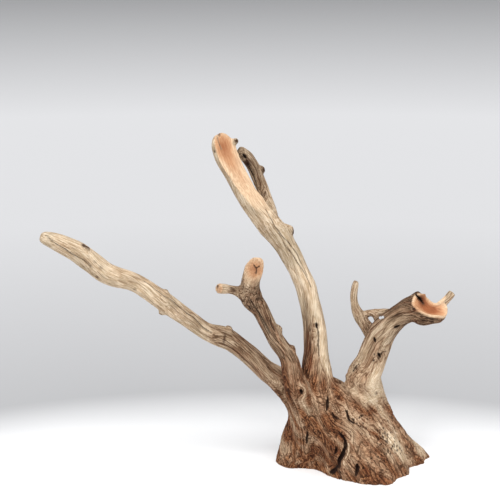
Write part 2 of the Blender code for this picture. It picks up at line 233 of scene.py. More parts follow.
# Cut wood that shows redder heartwood: place, reach and how many millimetres deeper it looks.
# The three blushes in the scoop at the right limb's end are partly redder heartwood and partly painted shade
# on the scoop's floor.
blushes = [
    ((-224, 0, 574), 19, 8), ((124, -34, 300), 17, 12), ((108, -28, 316), 11, 14), ((-173, -96, 384), 17, 7),
    ((99, -50, 312), 12, 8), ((-231, -93, 353), 9, 9),
]

# Ribbons of parallel lines: points on the skin, line spacing, reach, height and paleness.
ribbons = [
    ([(-120, -12, 160), (-118, -22, 140), (-113, -27, 120), (-110, -22, 98), (-111, -8, 67), (-112, -3, 39),
      (-113, -7, 10)], 5.0, 12, 0.4, 0.0),
    ([(-119, -36, 182), (-112, -42, 152), (-103, -42, 124), (-96, -38, 95), (-91, -28, 62), (-88, -18, 30),
      (-86, -14, 5)], 5.0, 11, 0.4, -0.1),
    ([(-60, -50, 95), (-56, -52, 75), (-54, -50, 52), (-50, -44, 30), (-48, -42, 5)], 5.0, 10, 0.3, 0.0),
    ([(-85, -24, 179), (-79, -38, 161), (-71, -44, 131), (-62, -49, 111), (-52, -54, 93), (-43, -57, 78),
      (-38, -58, 60)], 5.5, 10, 0.6, 0.15),
    ([(0, -60, 90), (7, -65, 76), (10, -70, 58), (16, -74, 42), (26, -75, 26), (36, -73, 6)], 5.0, 12, 0.4,
      0.1),
    ([(-14, -66, 52), (-6, -69, 36), (4, -74, 20), (12, -76, 4)], 5.0, 8, 0.4, 0.1),
    ([(-14, -6, 152), (0, -22, 143), (14, -31, 130), (34, -38, 107), (48, -44, 89), (61, -46, 68),
      (75, -44, 46), (86, -42, 24), (92, -40, 6)], 5.5, 13, 0.5, 0.2),
    ([(5, -21, 158), (25, -20, 134), (46, -16, 113), (66, -12, 83), (84, -8, 54), (101, -2, 31),
      (116, 4, 12)], 5.5, 12, 0.6, 0.3),
    ([(-161, 11, 459), (-144, 14, 441), (-123, 15, 411), (-102, 14, 379), (-87, 12, 346), (-76, 6, 312),
      (-69, 1, 274)], 6.0, 12, 0.7, 0.0),
    ([(-176, -82, 345), (-171, -79, 330), (-161, -68, 296), (-148, -61, 264), (-126, -58, 236),
      (-114, -55, 203)], 4.5, 10, 0.8, 0.05),
    ([(6, -12, 172), (13, -13, 196), (22, -15, 220), (31, -18, 239), (42, -25, 257), (53, -28, 275),
      (66, -32, 288), (77, -38, 293), (87, -45, 295), (99, -54, 300), (112, -58, 296)], 5.0, 13, 1.0, 0.0),
    ([(-105, -55, 181), (-94, -51, 170), (-87, -48, 162), (-88, -51, 152), (-93, -52, 145), (-89, -50, 135),
      (-82, -46, 121), (-79, -44, 107)], 4.5, 10, 1.0, 0.55),
    ([(-58, -41, 137), (-46, -51, 119), (-37, -55, 106), (-19, -57, 96), (-7, -58, 86), (-7, -62, 71),
      (-10, -67, 56)], 5.5, 13, 0.8, 0.25),
    ([(-29, -27, 143), (-18, -38, 130), (-10, -46, 117), (4, -53, 102), (18, -55, 88), (28, -57, 70),
      (42, -57, 52)], 6.0, 12, 0.6, 0.2),
    ([(-19, -61, 84), (-12, -65, 66), (-14, -67, 52), (-20, -66, 38), (-21, -64, 24), (-18, -62, 6)], 5.0,
      4.5, 1.6, 0.5),
    ([(-160, -84, 374), (-161, -84, 363), (-167, -86, 355), (-177, -88, 352), (-187, -85, 360),
      (-191, -80, 370)], 4.0, 8, 0.7, 0.0),
    ([(-72, 6, 330), (-62, 2, 290), (-56, -6, 250), (-52, -10, 215), (-46, -12, 180), (-40, -14, 160)], 6.0,
      11, 0.8, 0.4),
    ([(38, -18, 215), (33, -19, 190), (31, -19, 165), (40, -16, 140), (54, -14, 118)], 6.0, 10, 0.7, 0.3),
]

# Growth lines and the relief that the weather leaves between them. Sizes are in millimetres.
grain = {
    "ringsToSurface": 6.0,
    "streakWidth": 9.0,
    "streakRun": 150.0,
    "streakRings": 2.4,
    "fineWidth": 5.0,
    "fineRun": 70.0,
    "fineRings": 0.5,
    "toneWidth": 16.0,
    "toneRun": 120.0,
    "streakRelief": 0.9,
    "fineRelief": 0.45,
    "grooveDepth": 1.3,
    "grooveFrom": 3.2,
    "grooveFull": 6.5,
    "limbBlend": 4.0,
    "limbWander": 2.2,
    "stockWander": 5.5,
    "wanderSize": 42.0,
    "stockTurn": -0.8,
    "flowTop": 168.0,
    "flowFull": 108.0,
    "leastWeight": 0.004,
    "bandTone": 0.5,
    "eyeSquash": (1, 1, 0.65),
    "ribbonRidge": 2.6,
    "depthShown": 0.42,
    "warmTop": (150, 270),
    "groovePhase": 0.85,
    "grooveWidth": 0.14,
    "thinWood": 14.0,
    "gougeRim": (-4.6, -2.2),
}

# Eyes in the grain, where a twig or a bud once was: place, reach, and how many lines ring it.
eyes = [
    ((-95, -52, 158), 9, 2.5), ((-173, -90, 366), 20, 4.0), ((4, -8, 184), 9, 3.5), ((1, 6, 194), 7, 2.5),
    ((-4, -12, 172), 8, -2.5), ((12, -16, 190), 7, 2.0), ((39, -21, 216), 9, 2.0), ((32, -21, 244), 8, 2.0),
    ((44, -18, 205), 7, 1.5), ((-66, -2, 262), 9, 2.0), ((-78, 8, 321), 8, 1.5), ((-50, -44, 134), 9, 1.5),
    ((-31, -55, 112), 9, 1.5), ((2, -73, 24), 11, 2.0), ((-12, -47, 112), 9, 1.5), ((-34, -61, 56), 8, 1.5),
    ((-452, -42, 404), 9, 2.0), ((-327, -30, 310), 10, 1.5), ((-155, 46, 482), 8, 2.0),
    ((60, 60, 60), 14, 2.0), ((0, 80, 50), 12, 2.0), ((-60, 70, 70), 14, -2.0), ((20, 40, 150), 12, 2.0),
    ((-70, 36, 200), 10, 2.0),
]


def clampedShare(low, high, values):
    share = np.clip((values - low) / (high - low), 0, 1)
    return share * share * (3 - 2 * share)


def stockShare(height):
    return clampedShare(-rootForm["stockTop"], rootForm["stockFade"] - rootForm["stockTop"], -height)


def smoothRoute(points):
    # A Catmull-Rom line through rows of x, y, z and radius, returned in metres
    rows = np.array(points, float)
    if rows[0, 2] < 0:
        rows = np.vstack([rows[0] - np.array([0, 0, rootForm["footDepth"], 0]), rows])
    padded = np.vstack([2 * rows[0] - rows[1], rows, 2 * rows[-1] - rows[-2]])
    route = []
    for before, start, end, after in zip(padded, padded[1:], padded[2:], padded[3:]):
        steps = max(2, round(np.linalg.norm(end[:3] - start[:3]) / rootForm["routeStep"]))
        for t in np.arange(steps) / steps:
            square = (2 * before - 5 * start + 4 * end - after) * t**2
            cube = (3 * start - before - 3 * end + after) * t**3
            route.append((2 * start + (end - before) * t + square + cube) / 2)
    route.append(rows[-1])
    return np.array(route) * mm


def addObject(name, data):
    obj = bpy.data.objects.new(name, data)
    bpy.context.scene.collection.objects.link(obj)
    return obj


def finishedMesh(obj):
    graph = bpy.context.evaluated_depsgraph_get()
    return bpy.data.meshes.new_from_object(obj.evaluated_get(graph))


def applyModifiers(obj):
    mesh = finishedMesh(obj)
    obj.modifiers.clear()
    obj.data = mesh


def flutedProfile():
    # The outline of a limb of unit radius
    curve = bpy.data.curves.new("flutes", "CURVE")
    spline = curve.splines.new("POLY")
    spline.points.add(rootForm["profilePoints"] - 1)
    spline.use_cyclic_u = True
    for number, point in enumerate(spline.points):
        turn = 2 * math.pi * number / rootForm["profilePoints"]
        radius = 1 + sum(high * math.cos(waves * turn + phase) for waves, high, phase in rootForm["flutes"])
        point.co = (radius * math.cos(turn), radius * math.sin(turn), 0, 1)
    return addObject("flutes", curve)


def tube(route, profile=None, sides=3):
    curve = bpy.data.curves.new("tube", "CURVE")
    curve.dimensions = "3D"
    curve.use_fill_caps = True
    if profile:
        curve.bevel_mode = "OBJECT"
        curve.bevel_object = profile
    else:
        curve.bevel_depth = 1.0
        curve.bevel_resolution = sides
    spline = curve.splines.new("POLY")
    spline.points.add(len(route) - 1)
    for number, (point, (x, y, z, radius)) in enumerate(zip(spline.points, route)):
        point.co = (x, y, z, 1.0)
        point.radius = radius
        point.tilt = 2 * math.pi * rootForm["fluteTwist"] * number * rootForm["routeStep"] * mm
    guide = addObject("tube", curve)
    mesh = finishedMesh(guide)
    bpy.data.objects.remove(guide)
    return mesh


def saw(form, point, normal, **options):
    everything = form.verts[:] + form.edges[:] + form.faces[:]
    bmesh.ops.bisect_plane(form, geom=everything, plane_co=point, plane_no=normal, **options)
    bmesh.ops.holes_fill(form, edges=[edge for edge in form.edges if edge.is_boundary], sides=0)


def cutOff(mesh, point, normal):
    form = bmesh.new()
    form.from_mesh(mesh)
    bmesh.ops.remove_doubles(form, verts=form.verts, dist=1e-6)
    saw(form, Vector(point) * mm, Vector(normal).normalized(), clear_outer=True)
    form.to_mesh(mesh)
    form.free()


def joined(name, meshes):
    form = bmesh.new()
    for mesh in meshes:
        form.from_mesh(mesh)
    whole = bpy.data.meshes.new(name)
    form.to_mesh(whole)
    form.free()
    return addObject(name, whole)


def growRoot(routes):
    # Limbs as fluted tubes, fused into one skin whose crotches are filled in
    profile = flutedProfile()
    meshes = []
    lower = dict(routes)
    for limb, height, point, normal, _ in cuts:
        start = next(i for i, row in enumerate(routes[limb]) if row[2] > height * mm)
        tip = tube(routes[limb][max(0, start - rootForm["tipLap"]):], profile)
        cutOff(tip, point, normal)
        meshes.append(tip)
        lower[limb] = routes[limb][: start + 1]
    for route in lower.values():
        if len(route) > rootForm["tipLap"]:
            meshes.append(tube(route, profile))
    for middle, tip, wide, narrow in knots:
        meshes.append(tube(smoothRoute([(*middle, wide), (*tip, narrow)])))
    root = joined("weatheredRoot", meshes)
    bpy.data.objects.remove(profile)
    skin = root.modifiers.new("fuse", "REMESH")
    skin.mode = "VOXEL"
    skin.voxel_size = rootForm["voxel"] * mm
    fillet = root.modifiers.new("fillet", "SMOOTH")
    fillet.factor = 0.5
    fillet.iterations = rootForm["creaseRounds"]
    applyModifiers(root)
    stock = root.vertex_groups.new(name="stock")
    shares = stockShare(coordinates(root)[:, 2])
    for number, share in enumerate(shares.tolist()):
        stock.add([number], share, "REPLACE")
    merge = root.modifiers.new("merge", "SMOOTH")
    merge.factor = 0.5
    merge.iterations = rootForm["stockRounds"]
    merge.vertex_group = stock.name
    applyModifiers(root)
    root.vertex_groups.clear()
    return root


def rowsOf(items, name):
    flat = np.empty(len(items) * 3, np.float32)
    items.foreach_get(name, flat)
    return flat.reshape(-1, 3).astype(float)


def coordinates(obj):
    return rowsOf(obj.data.vertices, "co") / mm  # in millimetres


def moveTo(obj, points):
    obj.data.vertices.foreach_set("co", (points * mm).astype(np.float32).ravel())
    obj.data.update()


dice = np.random.default_rng(41)
slopes = dice.normal(size=(256, 3))
slopes /= np.linalg.norm(slopes, axis=1, keepdims=True)
shuffled = dice.permutation(256)


def rippleNoise(points, seed):
    # Smooth noise between about -1 and 1; seed may differ from point to point
    cell = np.floor(points).astype(int)
    inside = points - cell
    fade = inside**3 * (inside * (inside * 6 - 15) + 10)
    total = np.zeros(len(points))
    for corner in itertools.product((0, 1), repeat=3):
        spot = cell + corner
        pick = shuffled[(spot[:, 0] + seed * 31) & 255]
        pick = shuffled[(pick + spot[:, 1]) & 255]
        pick = shuffled[(pick + spot[:, 2]) & 255]
        weight = np.prod(np.where(corner, fade, 1 - fade), axis=1)
        total += weight * (slopes[pick] * (inside - corner)).sum(1)
    return total * 1.7


def limbGuide(route, twist):
    # Directions along and across a limb, turning slowly as spiral grain does
    places = route[:, :3] / mm
    along = np.gradient(places, axis=0)
    along /= np.linalg.norm(along, axis=1, keepdims=True)
    across = np.empty_like(along)
    direction = np.cross(along[0], (0.3, 1.0, 0.2))
    for number, ahead in enumerate(along):
        direction = direction - ahead * (direction @ ahead)
        direction /= np.linalg.norm(direction)
        across[number] = direction
    run = np.append(0, np.cumsum(np.linalg.norm(np.diff(places, axis=0), axis=1)))
    turn = 2 * math.pi * twist * run[:, None] * mm
    side = np.cross(along, across)
    return {
        "places": places,
        "radius": route[:, 3] / mm,
        "along": along,
        "u": across * np.cos(turn) + side * np.sin(turn),
        "v": side * np.cos(turn) - across * np.sin(turn),
        "run": run,
    }


def lengths(rows):
    return np.linalg.norm(rows, axis=1)


def nearestTo(points, line):
    # The number of the line's point that lies nearest to each point
    nearest = np.empty(len(points), int)
    for start in range(0, len(points), 8000):
        some = points[start:start + 8000]
        nearest[start:start + 8000] = ((line**2).sum(1) - 2 * some @ line.T).argmin(1)
    return nearest


def placeOnLimb(points, wander, guide):
    nearest = nearestTo(points, guide["places"])
    offset = points - guide["places"][nearest]
    along = guide["along"][nearest]
    radius = np.interp(guide["run"][nearest] + (offset * along).sum(1), guide["run"], guide["radius"])
    away = lengths(offset)
    offset = offset + wander
    ahead = (offset * along).sum(1)
    return {
        "gap": away - radius,
        "core": away / radius,
        "radius": radius,
        "u": (offset * guide["u"][nearest]).sum(1) / radius,
        "v": (offset * guide["v"][nearest]).sum(1) / radius,
        "run": guide["run"][nearest] + ahead,
        "share": guide["run"][nearest] / guide["run"][-1],
    }


def streaks(spot, width, run, seed):
    # Noise drawn out along the grain, as closely spaced on thick wood as on thin
    size = np.log2(np.maximum(spot["radius"], 3) / width)
    octave = np.floor(size).astype(int)
    share = size - octave
    total = 0
    for step, weight in ((0, 1 - share), (1, share)):
        count = 2.0 ** (octave + step)
        place = np.stack([spot["u"] * count, spot["v"] * count, spot["run"] / run], axis=1)
        total = total + weight * rippleNoise(place, seed + octave + step)
    return total


def within(points, line, reach):
    # The numbers of the points in the box round a line
    inBox = (points > line.min(0) - reach) & (points < line.max(0) + reach)
    return np.flatnonzero(inBox.all(1))


def closelySet(line):
    # The same line with six points for each one
    steps = np.linspace(0, len(line) - 1, 6 * len(line))
    return np.stack([np.interp(steps, np.arange(len(line)), column) for column in line.T], axis=1)


def around(points, place, reach, squash=(1, 1, 1)):
    # 1 at a place, fading to 0 all round it
    distance = lengths((points - np.array(place)) * squash)
    return np.exp(-((distance / reach) ** 2))


def woodFields(points, guides):
    # Everything that the grain needs to know about a point of the surface
    height = points[:, 2]
    low = 1 - clampedShare(grain["flowFull"], grain["flowTop"], height)
    reach = grain["limbWander"] + (grain["stockWander"] - grain["limbWander"]) * low
    wander = np.zeros_like(points)
    for size, strength, seed in ((1.0, 1.0, 101), (0.42, 0.3, 111)):
        place = points / (grain["wanderSize"] * size)
        wander += strength * np.stack([rippleNoise(place, seed + axis) for axis in range(3)], axis=1)
    wander *= reach[:, None]
    spots = {name: placeOnLimb(points, wander, guide) for name, guide in guides.items()}
    gaps = np.array([spot["gap"] for spot in spots.values()])
    stock = list(spots).index("stock")
    gaps[stock] = 1e3
    weights = np.exp(-(gaps - gaps.min(0)) / grain["limbBlend"])
    weights *= (1 - low) / weights.sum(0)
    weights[stock] = low
    fields = {}
    for number, (name, spot) in enumerate(spots.items()):
        live = np.flatnonzero(weights[number] > grain["leastWeight"])
        if not len(live):
            continue
        here = {key: values[live] for key, values in spot.items()}
        streak = streaks(here, grain["streakWidth"], grain["streakRun"], 7 * number)
        fine = streaks(here, grain["fineWidth"], grain["fineRun"], 7 * number + 200)
        band = streaks(here, grain["toneWidth"], grain["toneRun"], 7 * number + 400)
        footTone, tipTone, first, last = limbTones[name]
        tone = footTone + (tipTone - footTone) * clampedShare(first, last, here["share"])
        found = {
            "ring": grain["ringsToSurface"] * np.minimum(here["core"], 1.5)
            + grain["streakRings"] * streak + grain["fineRings"] * fine,
            "streak": streak,
            "fine": fine,
            "tone": tone + grain["bandTone"] * band * (0.35 + tone),
            "depth": -here["gap"],
            "size": here["radius"],
            "fibreU": here["u"] * here["radius"],
            "fibreV": here["v"] * here["radius"],
            "fibreRun": here["run"],
        }
        for key, values in found.items():
            fields.setdefault(key, np.zeros(len(points)))[live] += weights[number][live] * values
    for place, reach, rings in eyes:
        fields["ring"] += rings * around(points, place, reach, grain["eyeSquash"])
    fields["ribbon"] = np.zeros(len(points))
    for route, spacing, reach, lift, pale in ribbons:
        line = closelySet(smoothRoute([(*place, 1) for place in route])[:, :3] / mm)
        near = within(points, line, 3 * reach)
        if not len(near):
            continue
        nearest = nearestTo(points[near], line)
        distance = lengths(points[near] - line[nearest])
        taper = clampedShare(0, 0.2, np.minimum(nearest, len(line) - 1 - nearest) / len(line))
        share = np.exp(-((distance / reach) ** 4)) * (0.25 + 0.75 * taper)
        close = fields["ring"][near][distance < 5]
        level = math.floor(close.mean() if len(close) else 0) + 0.25
        fields["ring"][near] += share * (level + distance / spacing - fields["ring"][near])
        fields["ribbon"][near] += taper * lift * np.exp(-((distance / grain["ribbonRidge"]) ** 2))
        fields["tone"][near] -= taper * pale * np.exp(-((distance / (0.5 * reach)) ** 2))
    for (x, y, z), across, up, change in patches:
        distance = ((points[:, 0] - x) ** 2 + (points[:, 1] - y) ** 2) / across**2 + (height - z) ** 2 / up**2
        fields["tone"] += change * np.exp(-distance)
    fields["stain"] = sum(strength * around(points, place, reach) for place, reach, strength in stains)
    fields["depth"] *= grain["depthShown"]
    for place, reach, deeper in blushes:
        fields["depth"] += deeper * around(points, place, reach)
    fields["low"] = low
    fields["warm"] = 1 - clampedShare(*grain["warmTop"], height)
    return fields


def lineSpacing(obj, ring, points):
    # How far apart, in millimetres, the growth lines lie at each point
    ends = np.empty(len(obj.data.edges) * 2, np.int32)
    obj.data.edges.foreach_get("vertices", ends)
    first, second = ends.reshape(-1, 2).T
    rise = np.abs(ring[first] - ring[second]) / lengths(points[first] - points[second])
    total = np.bincount(first, rise, len(points)) + np.bincount(second, rise, len(points))
    count = np.bincount(first, minlength=len(points)) + np.bincount(second, minlength=len(points))
    return 1 / np.maximum(1.4 * total / count, 1e-3)


def cutShare(points, guides):
    # 1 on sawn and gouged faces, 0 on old weathered wood
    share = np.zeros(len(points))
    for limb, _, point, normal, (low, high, lap, freshness) in cuts:
        across = np.array(normal) / np.linalg.norm(normal)
        off = np.abs((points - np.array(point)) @ across)
        spot = placeOnLimb(points, 0, guides[limb])
        near = clampedShare(-6.0, -1.0, -spot["gap"]) * clampedShare(low, high, points[:, 2])
        share = np.maximum(share, freshness * near * clampedShare(-2.2 * lap, -lap, -off))
    for gouge in gouges:
        route = smoothRoute(gouge) / mm
        nearest = nearestTo(points, route[:, :3])
        off = lengths(points - route[nearest, :3]) - route[nearest, 3]
        share = np.maximum(share, clampedShare(*grain["gougeRim"], -off))
    return share


def weather(root, guides):
    # Long ridges, knobbly wood and the grooves between growth lines
    points = coordinates(root)
    normals = rowsOf(root.data.vertex_normals, "vector")
    fields = woodFields(points, guides)
    axisX, axisY = rootForm["stockAxis"]
    shares = stockShare(points[:, 2])
    relief = np.empty(len(points))
    for number, (x, y, z) in enumerate(points.tolist()):
        turn = math.atan2(y - axisY, x - axisX)
        turn += rootForm["swirl"] * noise.noise(Vector((x, y, z)) / rootForm["swirlSize"])
        rim = Vector((math.cos(turn), math.sin(turn), 0)) * rootForm["ridgesRound"]
        ridge = noise.noise(rim + Vector((0, 0, z / rootForm["ridgeRun"])))
        lump = noise.noise(Vector((x, y, z)) / rootForm["lumpSize"])
        relief[number] = rootForm["ridgeHeight"] * ridge * shares[number] + rootForm["lumpHeight"] * lump
    fresh = cutShare(points, guides)
    spacing = lineSpacing(root, fields["ring"], points)
    phase = fields["ring"] % 1
    groove = 0
    for place in (grain["groovePhase"], grain["groovePhase"] - 1):
        groove = groove + np.exp(-(((phase - place) / grain["grooveWidth"]) ** 2))
    groove *= clampedShare(grain["grooveFrom"], grain["grooveFull"], spacing)
    thin = np.clip(fields["size"] / grain["thinWood"], 0.25, 1)
    carved = grain["streakRelief"] * fields["streak"] + grain["fineRelief"] * fields["fine"]
    carved -= grain["grooveDepth"] * groove * (0.6 + 0.7 * fields["low"])
    relief += (carved * thin + fields["ribbon"]) * (1 - 0.85 * fresh)
    moveTo(root, points + normals * relief[:, None])
    fields["cut"] = fresh
    return fields


# Long thin drying cracks: points on the skin, and half width in millimetres.
dryingCracks = [
    ([(-175, -97, 394), (-171, -96, 389), (-166, -97, 393)], 0.4),
    ([(-171, -96, 390), (-170, -95, 385), (-172, -94, 379)], 0.45),
    ([(-517, -50, 433), (-503, -55, 422), (-486, -55, 411), (-469, -54, 399), (-452, -53, 388),
      (-441, -51, 378)], 0.36),
    ([(-359, -33, 350), (-342, -32, 336), (-326, -30, 323), (-308, -27, 311)], 0.34),
    ([(-312, -28, 314), (-291, -26, 294), (-273, -23, 279), (-259, -22, 264), (-246, -22, 255)], 0.42),
    ([(-230, -4, 593), (-227, -5, 582), (-222, -7, 570)], 0.3),
    ([(-155, 14, 462), (-149, 14, 451), (-132, 15, 423), (-108, 16, 395), (-92, 17, 366),
      (-82, 14, 344)], 0.38),
    ([(-125, 15, 405), (-111, 14, 386), (-96, 14, 365), (-88, 13, 351), (-76, 10, 327)], 0.38),
    ([(-65, 1, 257), (-63, -5, 238), (-62, -12, 210)], 0.7),
    ([(-112, -51, 234), (-106, -51, 222), (-103, -51, 213)], 0.8),
    ([(-183, -83, 336), (-174, -76, 319), (-161, -67, 296), (-149, -61, 267)], 0.6),
    ([(-172, 42, 500), (-178, 44, 520), (-186, 34, 538)], 1.0),
    ([(-400, -10, 372), (-370, -6, 350), (-335, 0, 330), (-300, 4, 300)], 0.8),
    ([(-120, 56, 420), (-100, 52, 380), (-85, 46, 330), (-74, 40, 280)], 0.8),
    ([(60, 20, 290), (42, 28, 250), (30, 34, 210)], 0.8),
    ([(-160, -34, 310), (-140, -30, 270), (-122, -24, 235)], 0.7),
]

# Small holes: the middle of the patch, how far it spreads, how many, smallest and largest radius in mm.
pitPatches = [
    ((38, -24, 212), 12, 8, 0.6, 1.0), ((6, -52, 108), 12, 8, 0.7, 1.3), ((52, -48, 76), 17, 34, 0.55, 1.0),
    ((66, -46, 54), 15, 20, 0.5, 0.9), ((40, -58, 45), 26, 12, 0.6, 1.0), ((-60, -44, 70), 34, 14, 0.6, 1.1),
    ((-20, -58, 100), 24, 8, 0.6, 1.1), ((2, -8, 182), 10, 8, 0.7, 1.2), ((70, 40, 70), 40, 16, 0.7, 1.4),
    ((-30, 70, 60), 50, 18, 0.7, 1.5),
]
pitStretch = 1.7


def cutterMeshes(root):
    # Tubes that cut the cracks, holes and gouges, and the lines they follow, each with the strength of the
    # shade painted inside it
    skin = BVHTree.FromObject(root, bpy.context.evaluated_depsgraph_get())
    meshes = []
    lines = []

    def stretched(mesh, middle, factor, axis):
        toMiddle = Matrix.Translation(-Vector(middle) * mm)
        mesh.transform(toMiddle.inverted() @ Matrix.Scale(factor, 4, axis) @ toMiddle)
        return mesh

    for points in cracks:
        crack = np.array(points, float)
        middle = (0, crack[:, 1].mean(), 0)
        crack[:, 1] = middle[1] + (crack[:, 1] - middle[1]) / crackForm["stretch"]
        route = smoothRoute(crack)
        for row in route:
            place = Vector(row[:3])
            row[0] += mm * noise.noise(place * crackForm["wanderScale"]) * crackForm["wander"]
            row[3] *= 1 + crackForm["swell"] * noise.noise(place * crackForm["swellScale"])
        meshes.append(stretched(tube(route), middle, crackForm["stretch"], (0, 1, 0)))
        line = route / mm
        line[:, 1] = middle[1] + (line[:, 1] - middle[1]) * crackForm["stretch"]
        lines.append((line, (1, 1 / crackForm["stretch"], 1), 1.0))
    for points, width in dryingCracks:
        route = smoothRoute([(*place, 1) for place in points])[:, :3]
        crack = []
        for number, spot in enumerate(route):
            place, normal = skin.find_nearest(spot)[:2]
            taper = math.sin(math.pi * (number + 0.6) / (len(route) + 0.2))
            jitter = noise.noise(place * 90) * 1.2
            side = normal.cross(Vector(route[-1] - route[0]).normalized())
            inner = place / mm - normal * 0.15 * width + side * jitter
            crack.append((*inner, width * (0.35 + 0.65 * taper) * (1 + 0.5 * noise.noise(place * 60))))
        crack = np.array(crack)
        meshes.append(tube(crack * mm, sides=1))
        lines.append((crack, (1, 1, 1), 0.6))
    luck = random.Random(23)
    for middle, spread, count, small, large in pitPatches:
        for _ in range(count):
            aim = Vector([value + luck.uniform(-spread, spread) for value in middle])
            place, normal = skin.find_nearest(aim * mm)[:2]
            radius = luck.uniform(small, large)
            outer = place / mm + normal * 2
            inner = place / mm - normal * 2.5 * radius
            route = np.array([(*outer, radius * 1.1), (*(place / mm), radius), (*inner, radius * 0.4)])
            meshes.append(stretched(tube(route * mm, sides=1), place / mm, pitStretch, (0, 0, 1)))
            lines.append((route[1:], (1, 1, 1 / pitStretch), 0.8))
    meshes += [tube(smoothRoute(points), sides=12) for points in gouges + gaps]
    return meshes, lines


def carve(root, meshes):
    cutters = bpy.data.collections.new("cutters")
    for mesh in meshes:
        cutters.objects.link(bpy.data.objects.new("cutter", mesh))
    cut = root.modifiers.new("carve", "BOOLEAN")
    cut.operation = "DIFFERENCE"
    cut.solver = "EXACT"
    cut.operand_type = "COLLECTION"
    cut.collection = cutters
    applyModifiers(root)
    for cutter in list(cutters.objects):
        bpy.data.objects.remove(cutter)
    bpy.data.collections.remove(cutters)


def sawFoot(root):
    form = bmesh.new()
    form.from_mesh(root.data)
    for vert in form.verts:
        if abs(vert.co.z) < rootForm["sawSnap"] * mm:
            vert.co.z = 0
    saw(form, (0, 0, 0), (0, 0, 1), dist=1e-7, clear_inner=True)
    bmesh.ops.dissolve_degenerate(form, dist=2e-6, edges=form.edges)
    bmesh.ops.triangulate(form, faces=[face for face in form.faces if len(face.verts) > 4])
    form.to_mesh(root.data)
    form.free()
    root.data.validate()


def crackShadeShare(points, lines):
    # 1 inside a crack or hole, falling to 0 just outside its rim; it sets where shade is painted inside them
    share = np.zeros(len(points))
    for line, shape, strength in lines:
        near = within(points, line[:, :3], 12)
        if not len(near):
            continue
        fineLine = closelySet(line)
        nearest = nearestTo(points[near] * shape, fineLine[:, :3] * shape)
        off = lengths((points[near] - fineLine[nearest, :3]) * shape) - fineLine[nearest, 3]
        share[near] = np.maximum(share[near], strength * clampedShare(-0.8, 0.1, -off))
    return share


routes = {name: smoothRoute(points) for name, points in limbs.items()}
grained = [name for name in limbTones if name != "stock"]
guides = {name: limbGuide(routes[name], rootForm["fluteTwist"]) for name in grained}
guides["stock"] = limbGuide(smoothRoute(stockFlow), grain["stockTurn"])
root = growRoot(routes)
print("root grown:", len(root.data.vertices), "points")

fields = weather(root, guides)
grown = coordinates(root)
print("surface weathered")

meshes, lines = cutterMeshes(root)
carve(root, meshes)
sawFoot(root)
print("cracks and gouges cut:", sum(len(face.vertices) - 2 for face in root.data.polygons), "triangles")

# Old skin keeps its grain; the walls of cracks and gouges and the sawn foot get theirs worked out afresh.
points = coordinates(root)
known = KDTree(len(grown))
for number, place in enumerate(grown):
    known.insert(place, number)
known.balance()
found = [known.find(place)[1:] for place in points]
source = np.array([number for number, distance in found])
fresh = np.flatnonzero(np.array([distance for number, distance in found]) > 0.01)
fields = {name: values[source] for name, values in fields.items()}
for name, values in woodFields(points[fresh], guides).items():
    fields[name][fresh] = values
# Painted shade: how far inside a crack or hole each point lies, to darken it
crack = crackShadeShare(points, lines)
fields["crack"] = crack
fields["cut"][fresh] = 0
fields["cut"] = np.maximum(fields["cut"], cutShare(points, guides)) * (1 - crack)
fields["under"] = (points[:, 2] < 0.01).astype(float)
woodValues = ("ring", "tone", "depth", "stain", "low", "warm", "crack", "cut", "under")
for name in woodValues:
    attribute = root.data.attributes.new(name, "FLOAT", "POINT")
    attribute.data.foreach_set("value", fields[name].astype(np.float32))
fibre = root.data.attributes.new("fibre", "FLOAT_VECTOR", "POINT")
threads = np.stack([fields[name] for name in ("fibreU", "fibreV", "fibreRun")], axis=1)
fibre.data.foreach_set("vector", (threads * mm).astype(np.float32).ravel())
print("grain stored:", len(fresh), "new points")


def colour(shade):
    # An sRGB hex colour, or a share of white, as the linear values that the shader takes
    if isinstance(shade, float):
        return (shade, shade, shade, 1.0)
    channels = [int(shade[i:i + 2], 16) / 255 for i in (1, 3, 5)]
    linear = [c / 12.92 if c <= 0.04045 else ((c + 0.055) / 1.055) ** 2.4 for c in channels]
    return (*linear, 1.0)


def addNode(tree, kind, settings=(), links=()):
    node = tree.nodes.new(kind)
    for name, value in dict(settings).items():
        if name == "stops":
            while len(node.color_ramp.elements) < len(value):
                node.color_ramp.elements.new(1.0)
            for element, (position, shade) in zip(node.color_ramp.elements, value):
                element.position = position
                element.color = colour(shade)
        elif isinstance(name, int) or name in node.inputs:
            node.inputs[name].default_value = colour(value) if isinstance(value, str) else value
        else:
            setattr(node, name, value)
    for name, source in dict(links).items():
        tree.links.new(source, node.inputs[name])
    return node


